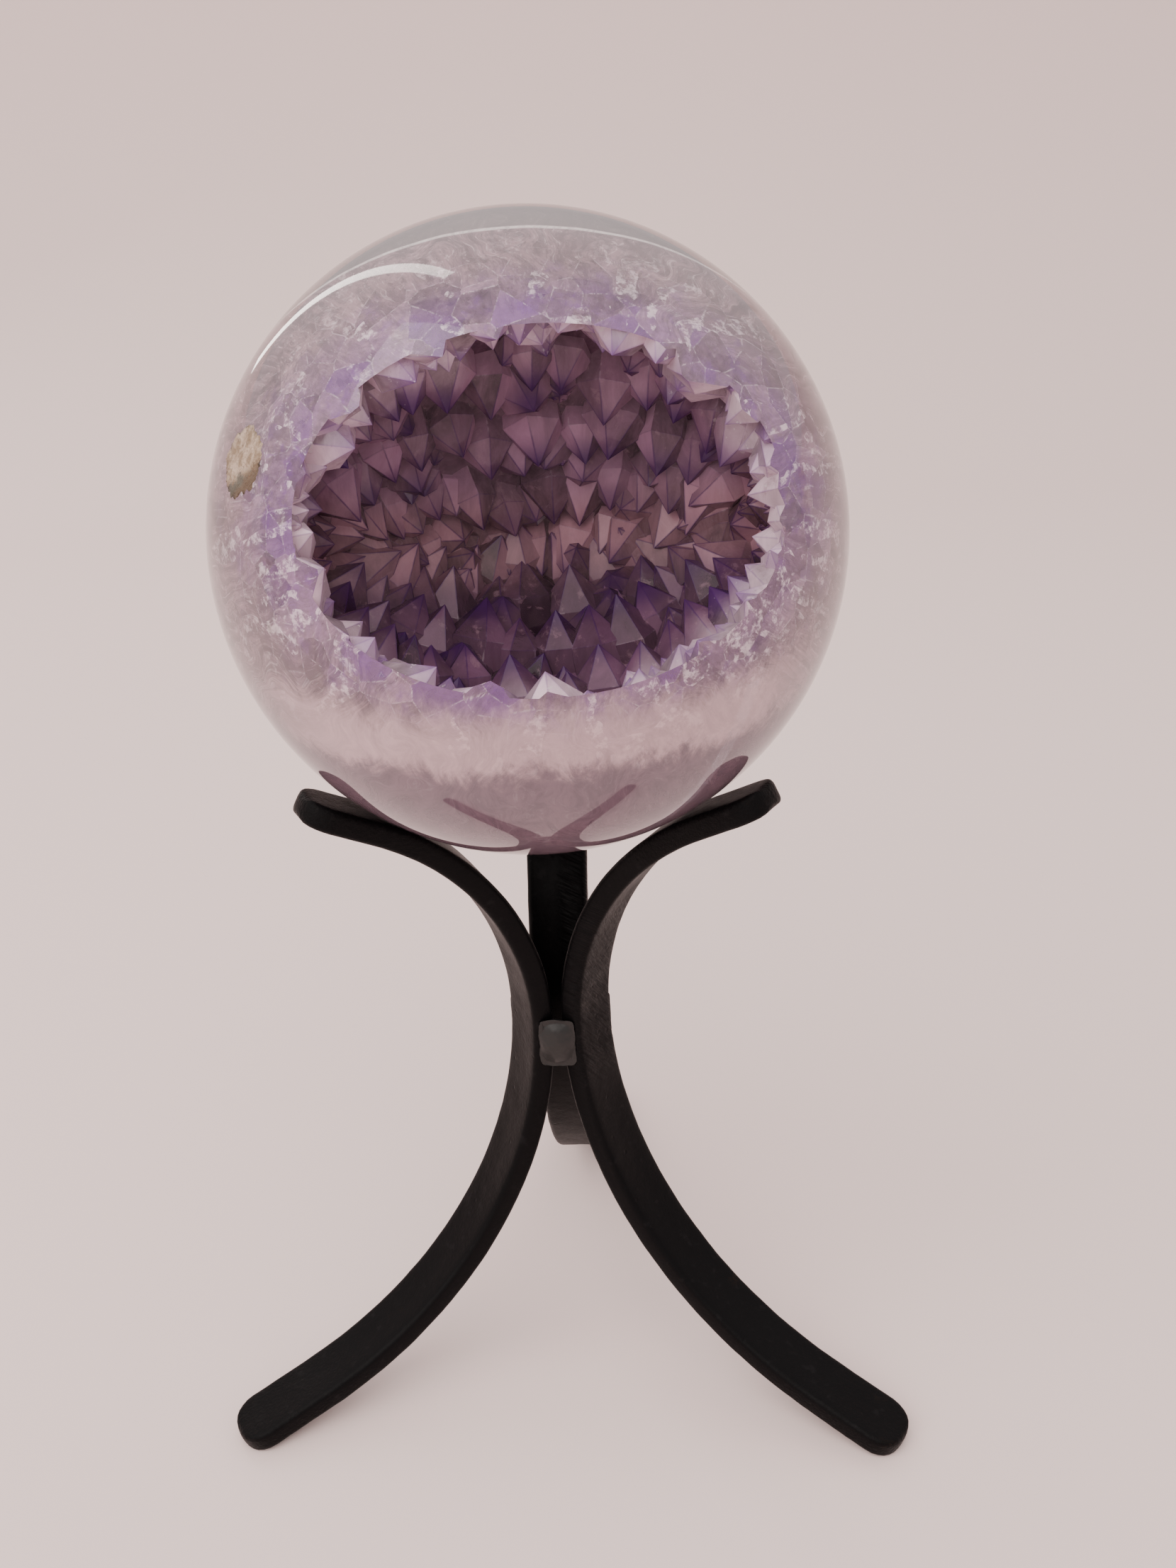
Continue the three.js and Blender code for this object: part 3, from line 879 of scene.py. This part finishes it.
    # Painted reflection over the crown: a grey crescent standing in for the dark room seen through the
    # clear quartz, with a thin painted highlight line where it starts
    crown = graph.dot(place, CROWN_WAY) + drift * 0.03
    painted_crown_reflection = ramp(crown, CROWN_START, CROWN_START + 0.02)
    painted_crown_reflection = painted_crown_reflection * ramp(crown + sway * 0.4, 0.86, 0.66)
    painted_crown_reflection = painted_crown_reflection * ramp(high + (wisps - 0.5) * 0.3, 0.50, 0.74)
    skin = blend(painted_crown_reflection * 0.85, skin, CROWN_PAINTED_REFLECTION)
    painted_crown_highlight = ramp((crown - (CROWN_START + 0.002)).size(), 0.013, 0.003)
    painted_crown_highlight = painted_crown_highlight * ramp(high, 0.60, 0.82)
    painted_crown_highlight = painted_crown_highlight * ramp(wisps, 0.35, 0.55, 0.45, 0.85)
    skin = blend(painted_crown_highlight, skin, CROWN_PAINTED_HIGHLIGHT)

    # How cloudy each place is: low where light passes through
    cloudy = 0.68 + cloud * 0.14 + milky_band * 0.18 + painted_low_shade * 0.12
    cloudy = cloudy - zone * 0.16 + splinters * zone * 0.3
    # The painted crescent shows as near-solid colour
    cloudy = graph.mix(painted_crown_reflection, cloudy, 0.94)
    inside = 0.88 - near_rim * 0.30
    factor = graph.mix(within, cloudy, inside)
    colour_all = blend(within, skin, facets)
    crystal_tint = blend(reach * 0.8, CRYSTAL_TINT, colours.lilac)
    tint = blend(within, colours.clear, crystal_tint)
    roughness = graph.mix(within, 0.03, 0.08)
    relief = graph.bump(graph.noise(place, 60, 3, 0.6) * within, 0.25, 0.15 * MM)
    see_through = graph.principled(
        Base_Color=tint, Roughness=roughness, IOR=QUARTZ_IOR, Transmission_Weight=1.0, Normal=relief
    )
    gloss = graph.mix(within, 1.0, 0.15)
    milky = graph.principled(
        Base_Color=colour_all, Roughness=0.6, Specular_IOR_Level=0.0, Coat_Weight=gloss,
        Coat_Roughness=0.04, Coat_IOR=QUARTZ_IOR, Normal=relief
    )
    surface = graph.node("ShaderNodeMixShader", None, {0: factor, 1: see_through, 2: milky})
    volume = graph.node("ShaderNodeVolumeAbsorption", None, {"Color": STONE_DEPTH, "Density": 7.0})
    return graph.finish(surface, volume)


def calcite_material(colours):
    """Pale crust with dark greenish and brown stains"""
    graph = Graph(bpy.data.materials.new("calcite_crust"))
    place = graph.place()
    coarse = graph.noise(place, 420, 4, 0.6)
    fine = graph.noise(place, 1800, 3, 0.6)
    across, outward = axes_at(PATCH_AZIMUTH, PATCH_ELEVATION)[::2]
    local = graph.shift(place, BALL_CENTRE + outward * BALL_RADIUS)
    sideways = graph.dot(local, -across) / MM
    rise = graph.dot(local, UP) / MM
    specks = graph.ramp(graph.noise(place, 900, 4, 0.7), 0.56, 0.66)
    base = graph.blend(graph.ramp(coarse, 0.38, 0.62), CRUST_PALE, colours.calcite)
    base = graph.blend(specks * 0.7, base, CRUST_SPECK)
    stain = graph.ramp(rise + (coarse - 0.5) * 7 + sideways * 0.5, -1.6, -3.4)
    base = graph.blend(stain * 0.85, base, colours.stain)
    brown = graph.ramp(sideways * -1 - rise + (coarse - 0.5) * 6, 3.5, 5.5)
    base = graph.blend(brown * 0.7, base, CRUST_BROWN)
    relief = graph.bump(coarse + fine * 0.5, 1.0, 1.2 * MM)
    return graph.finish(graph.principled(Base_Color=base, Roughness=0.62, Normal=relief))


def iron_material(colours):
    """Black paint over hot-rolled bar, with sand in it, pits, rubbed patches and painted sheen"""
    graph = Graph(bpy.data.materials.new("painted_iron"))
    place = graph.place()
    sand = graph.noise(place, 1500, 3, 0.65)
    orange_peel = graph.noise(place, 420, 3, 0.5)
    broad = graph.noise(place, 70, 3, 0.55)
    rubbed = graph.ramp(graph.noise(place, 38, 4, 0.65), 0.60, 0.70) * graph.ramp(sand, 0.4, 0.6)
    height = graph.dot(place, UP)
    rubbed = rubbed * graph.ramp((height - WELD_HEIGHT).size(), 0.008, 0.020)
    base = graph.blend(rubbed * 0.75, colours.paint, colours.worn)
    # Painted sheen: faint lighter spots on the orange peel
    base = graph.blend(graph.ramp(orange_peel, 0.60, 0.75) * 0.35, base, PAINTED_SHEEN)
    roughness = 0.44 + (broad - 0.5) * 0.35 + rubbed * 0.2 + (sand - 0.5) * 0.2
    pits = graph.ramp(graph.cells(place, 260), 0.0, 0.16, 0.0, 1.0)
    aside = graph.dot(graph.shift(place, (BALL_CENTRE.x, 0, 0)), (1, 0, 0))
    grind_zone = graph.ramp((height - GRIND_HEIGHT).size(), 0.026, 0.016) * graph.ramp(aside, 0.0, 0.004)
    slanted = graph.vector(
        graph.dot(place, (0.5, 0.5, 0.7)) * 1000, graph.dot(place, (0.5, 0.5, -0.7)) * 130, 0.0
    )
    grinding = graph.noise(slanted, 1.0, 2, 0.6)
    sandy_zone = graph.ramp(height, 0.120, 0.132) + graph.ramp(height, 0.016, 0.006) * 0.6
    relief = graph.bump(sand * (0.5 + sandy_zone * 2.5), 0.6, 0.16 * MM)
    relief = graph.bump(orange_peel, 0.45, 0.22 * MM, relief)
    relief = graph.bump(pits, 0.5, 0.15 * MM, relief)
    relief = graph.bump(grinding * grind_zone, 1.0, 0.7 * MM, relief)
    return graph.finish(graph.principled(
        Base_Color=base, Roughness=roughness, Specular_IOR_Level=0.07, Normal=relief
    ))


def bar_stations(stand):
    """Places along a bar's inner face, from foot to tip: radius, height, tilt and distance from the end"""
    ends = [stand.end_radius * part for part in (0, 0.02, 0.08, 0.18, 0.32, 0.5, 0.74, 1.0)]
    leg_height = (
        stand.shank_radius * math.sin(stand.shank_angle) + stand.foot_length * math.cos(stand.shank_angle)
    )
    waist = leg_height - stand.foot_flat

    def bent(radius, turn, way):
        """A place on the bend that starts at the waist and goes up or down"""
        out = stand.waist_radius + radius * (1 - math.cos(turn))
        return out, waist + way * radius * math.sin(turn), -way * turn, stand.end_radius

    def straight(radius, turn, run, way, steps):
        """The straight end after that bend, from its tip inwards"""
        out, high = bent(radius, turn, way)[:2]
        return [
            (
                out + (run - step) * math.sin(turn), high + way * (run - step) * math.cos(turn),
                -way * turn, min(step, stand.end_radius),
            )
            for step in ends + [stand.end_radius + step * RUN_STEP for step in range(1, steps)]
        ]

    places = straight(stand.shank_radius, stand.shank_angle, stand.foot_length, -1, 9)
    for step in range(LEG_STEPS):
        places.append(bent(stand.shank_radius, stand.shank_angle * (1 - step / LEG_STEPS), -1))
    for step in range(ARM_STEPS + 1):
        places.append(bent(stand.arm_radius, stand.arm_angle * step / ARM_STEPS, 1))
    places += reversed(straight(stand.arm_radius, stand.arm_angle, stand.tip_length, 1, 6))
    return places


def draw_in(radius, from_end):
    rest = max(radius - from_end, 0)
    return radius - math.sqrt(radius * radius - rest * rest)


def bar_outline(stand, from_end):
    """The bar's rounded cut, with points spread along its wide faces as well"""
    half = stand.bar_width / 2 - draw_in(stand.end_radius, from_end)
    low = draw_in(stand.edge_radius * 1.3, from_end)
    high = stand.bar_thickness - low
    edge = min(stand.edge_radius, (high - low) / 2 * 0.96, half * 0.96)
    corners = [
        (half - edge, low + edge, -90),
        (half - edge, high - edge, 0),
        (edge - half, high - edge, 90),
        (edge - half, low + edge, 180),
    ]

    def on_round(corner, turn):
        way = math.radians(corner[2] + turn)
        return corner[0] + edge * math.cos(way), corner[1] + edge * math.sin(way)

    points = []
    for index, corner in enumerate(corners):
        points += [on_round(corner, turn) for turn in (0, 22.5, 45, 67.5, 90)]
        goal = on_round(corners[(index + 1) % 4], 0)
        steps = 10 if index % 2 else 2
        for step in range(1, steps):
            part = step / steps
            points.append(tuple(a + (b - a) * part for a, b in zip(points[-step], goal)))
    return points


def bar_mesh(stand, name, azimuth):
    """One bar as a lofted tube with closed ends, a little lumpy, its foot ground flat on the floor"""
    away = Vector((math.cos(azimuth), math.sin(azimuth), 0))
    aside = away.cross(UP)
    axis = Vector((BALL_CENTRE.x, BALL_CENTRE.y, 0))
    corners = []
    places = bar_stations(stand)
    for r, z, tilt, from_end in places:
        inner = axis + away * r + UP * z
        outward = away * math.cos(tilt) + UP * math.sin(tilt)
        for x, y in bar_outline(stand, from_end):
            point = inner + aside * x + outward * y
            out = (aside * x + outward * (y - stand.bar_thickness / 2)).normalized()
            lump = noise.noise(point * 140) * 0.7 + noise.noise(point * 420) * 0.5
            point += out * (lump - 1.0) * stand.lumps
            point.z = max(point.z, 0.0)
            corners.append(point)
    sides = len(corners) // len(places)
    faces = []
    for row in range(len(places) - 1):
        for side in range(sides):
            here = row * sides + side
            after = row * sides + (side + 1) % sides
            faces.append((here, after, after + sides, here + sides))
    last = (len(places) - 1) * sides
    faces.append(tuple(reversed(range(sides))))
    faces.append(tuple(range(last, last + sides)))
    mesh = mesh_from(name, corners, faces)
    shade_smooth(mesh, flat=2)
    return mesh


def make_stand_piece(name, mesh, material, node):
    piece = new_object(name, mesh)
    mesh.materials.append(material)
    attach(piece, "root")
    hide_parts(node)
    return piece


def weld_mesh(node):
    """A weld block with a rough, slightly swollen skin, grown from its solid"""
    copy = new_object("weld_work", frame["nodes"][node].data.copy())
    remesh = copy.modifiers.new("even", "REMESH")
    remesh.mode = "VOXEL"
    remesh.voxel_size = WELD_CELL
    mesh = applied(copy)
    discard(copy)
    work = bmesh.new()
    work.from_mesh(mesh)
    for _ in range(WELD_ROUNDS):
        bmesh.ops.smooth_vert(
            work, verts=work.verts, factor=0.5, use_axis_x=True, use_axis_y=True, use_axis_z=True
        )
    work.to_mesh(mesh)
    work.free()
    low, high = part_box(node)
    middle = (low + high) / 2
    away = Vector((middle.x - BALL_CENTRE.x, middle.y - BALL_CENTRE.y, 0)).normalized()
    for vertex, normal in zip(mesh.vertices, [v.normal.copy() for v in mesh.vertices]):
        offset = vertex.co - middle
        out = offset.dot(away)
        if out > 0:
            vertex.co -= away * min((offset.length_squared - out * out) / WELD_SWELL, out)
        rough = noise.noise(vertex.co * 450) * 0.22 + noise.noise(vertex.co * 1300) * 0.07
        vertex.co += normal * (rough - 0.08) * MM
    shade_smooth(mesh)
    return mesh


class AMETHYST_OT_stone(bpy.types.Operator):
    """Make the polished ball with its crystal-lined hollow"""

    bl_idname = "amethyst.stone"
    bl_label = "Stone"

    def execute(self, context):
        chosen = settings()
        body, grown = stone_body(chosen.hollow, chosen.crystals)
        mesh = body.data
        mark_facets(mesh, grown, polish(mesh))
        mesh.transform(Matrix.Translation(BALL_CENTRE))
        for vertex in mesh.vertices:
            vertex.co.y = max(vertex.co.y, LIP_FRONT)
        mesh.materials.clear()
        mesh.materials.append(stone_material(chosen.hollow, chosen.colours))
        mesh.polygons.foreach_set("material_index", [0] * len(mesh.polygons))
        body.name = "amethyst_ball"
        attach(body, "root")
        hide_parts("quartz_ball", "crystal_lining")
        return {"FINISHED"}


class AMETHYST_OT_crust(bpy.types.Operator):
    """Make the patch of pale crust in the ball's side"""

    bl_idname = "amethyst.crust"
    bl_label = "Calcite crust"

    def execute(self, context):
        crust = new_object("calcite_crust", pebble_mesh())
        skin = new_object("skin", sphere_mesh("skin", 6, lambda unit: unit * BALL_RADIUS))
        combine(crust, "INTERSECT", skin)
        discard(skin)
        crust.data.transform(Matrix.Translation(BALL_CENTRE))
        shade_smooth(crust.data)
        crust.data.materials.clear()
        crust.data.materials.append(calcite_material(settings().colours))
        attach(crust, "root")
        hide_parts("calcite_patch")
        return {"FINISHED"}


class AMETHYST_OT_stand(bpy.types.Operator):
    """Make the three bent bars and the welds that join them"""

    bl_idname = "amethyst.stand"
    bl_label = "Iron stand"

    def execute(self, context):
        chosen = settings()
        material = iron_material(chosen.colours)
        for node, degrees in LEG_AZIMUTHS.items():
            mesh = bar_mesh(chosen.stand, node, math.radians(degrees))
            make_stand_piece(node.replace("leg", "bar"), mesh, material, node)
        for node in WELDS:
            make_stand_piece(node.replace("weld", "bead"), weld_mesh(node), material, node)
        return {"FINISHED"}


class AMETHYST_OT_stage(bpy.types.Operator):
    """Make the pale floor, the soft lights and the camera"""

    bl_idname = "amethyst.stage"
    bl_label = "Stage"

    def execute(self, context):
        stage = settings().stage
        half = stage.floor_size / 2
        profile = [(-half, 0.0)]
        for step in range(25):
            turn = math.pi / 2 * step / 24
            profile.append((
                stage.wall_back - stage.cove + stage.cove * math.sin(turn),
                stage.cove * (1 - math.cos(turn)),
            ))
        profile.append((stage.wall_back, stage.wall_height))
        corners = [(side * half, y, z) for y, z in profile for side in (-1, 1)]
        faces = [(row, row + 1, row + 3, row + 2) for row in range(0, len(corners) - 2, 2)]
        floor = new_object("floor", mesh_from("floor", corners, faces))
        shade_smooth(floor.data)
        graph = Graph(bpy.data.materials.new("pale_floor"))
        floor.data.materials.append(graph.finish(graph.principled(
            Base_Color=(*stage.floor_colour, 1.0), Roughness=0.8
        )))
        self.light_all_round(stage)
        self.lamp("key", (-0.45, -0.55, 0.95), (1.4, 1.4), 15.0)
        self.lamp("strip", (-0.34, 0.62, 0.66), (0.05, 0.9), 1.1)
        self.camera(stage)
        return {"FINISHED"}

    @staticmethod
    def light_all_round(stage):
        world = bpy.data.worlds.new("soft_room")
        bpy.context.scene.world = world
        stops = [
            (0.0, (0.56, 0.50, 0.49)), (0.30, (0.58, 0.52, 0.51)),
            (0.62, (0.98, 0.88, 0.85)), (1.0, (1.0, 0.91, 0.88)),
        ]
        graph = Graph(world, "ShaderNodeOutputWorld")
        direction = graph.node("ShaderNodeTexCoord", output="Generated")
        height = graph.node("ShaderNodeSeparateXYZ", None, {0: direction}, "Z")
        tone = graph.node("ShaderNodeValToRGB", {"stops": stops}, {0: height})
        graph.finish(graph.node("ShaderNodeBackground", None, {0: tone, "Strength": stage.sky}))

    @staticmethod
    def lamp(name, place, size, watts):
        data = bpy.data.lights.new(name, "AREA")
        data.shape = "RECTANGLE"
        data.size, data.size_y = size
        data.energy = watts
        data.color = LAMP_COLOUR
        made = new_object(name, data)
        made.location = Vector(place)
        made.rotation_mode = "QUATERNION"
        made.rotation_quaternion = (BALL_CENTRE - made.location).to_track_quat("-Z", "Y")

    @staticmethod
    def camera(stage):
        data = bpy.data.cameras.new("camera")
        made = new_object("camera", data)
        bpy.context.scene.camera = made
        focal_pixels, image_height = 2200, 2212
        data.lens = focal_pixels / image_height * data.sensor_width
        level = Vector((math.cos(stage.yaw), -math.sin(stage.yaw), 0))
        forward = direction_at(math.pi / 2 - stage.yaw, stage.pitch)
        rise = level.cross(forward)
        right = level * math.cos(stage.roll) + rise * math.sin(stage.roll)
        up = right.cross(forward)
        turn = Matrix((right, up, -forward)).transposed().to_4x4()
        eye = Vector((BALL_CENTRE.x, BALL_CENTRE.y - stage.camera_back, stage.camera_height))
        made.matrix_world = Matrix.Translation(eye) @ turn


class AMETHYST_PG_settings(bpy.types.PropertyGroup):
    """Everything a user may change"""

    hollow: PointerProperty(type=AMETHYST_PG_hollow)
    crystals: PointerProperty(type=AMETHYST_PG_crystals)
    stand: PointerProperty(type=AMETHYST_PG_stand)
    colours: PointerProperty(type=AMETHYST_PG_colours)
    stage: PointerProperty(type=AMETHYST_PG_stage)


OPERATORS = (AMETHYST_OT_stage, AMETHYST_OT_stone, AMETHYST_OT_crust, AMETHYST_OT_stand)


class AMETHYST_PT_panel(bpy.types.Panel):
    """Lists the pieces and their settings"""

    bl_idname = "AMETHYST_PT_panel"
    bl_label = "Amethyst ball"
    bl_space_type = "VIEW_3D"
    bl_region_type = "UI"
    bl_category = "Amethyst"

    def draw(self, context):
        chosen = context.scene.amethyst
        for operator in OPERATORS:
            self.layout.operator(operator.bl_idname)
        for part in chosen.__annotations__:
            group = getattr(chosen, part)
            box = self.layout.box()
            for name in group.__annotations__:
                box.prop(group, name)


CLASSES = (
    AMETHYST_PG_hollow,
    AMETHYST_PG_crystals,
    AMETHYST_PG_stand,
    AMETHYST_PG_colours,
    AMETHYST_PG_stage,
    AMETHYST_PG_settings,
    *OPERATORS,
    AMETHYST_PT_panel,
)


def register():
    for made in CLASSES:
        bpy.utils.register_class(made)
    bpy.types.Scene.amethyst = PointerProperty(type=AMETHYST_PG_settings)


def unregister():
    del bpy.types.Scene.amethyst
    for made in reversed(CLASSES):
        bpy.utils.unregister_class(made)


def main():
    register()
    bpy.ops.amethyst.stage()
    bpy.ops.amethyst.stone()
    bpy.ops.amethyst.crust()
    bpy.ops.amethyst.stand()


if __name__ == "__main__":
    main()
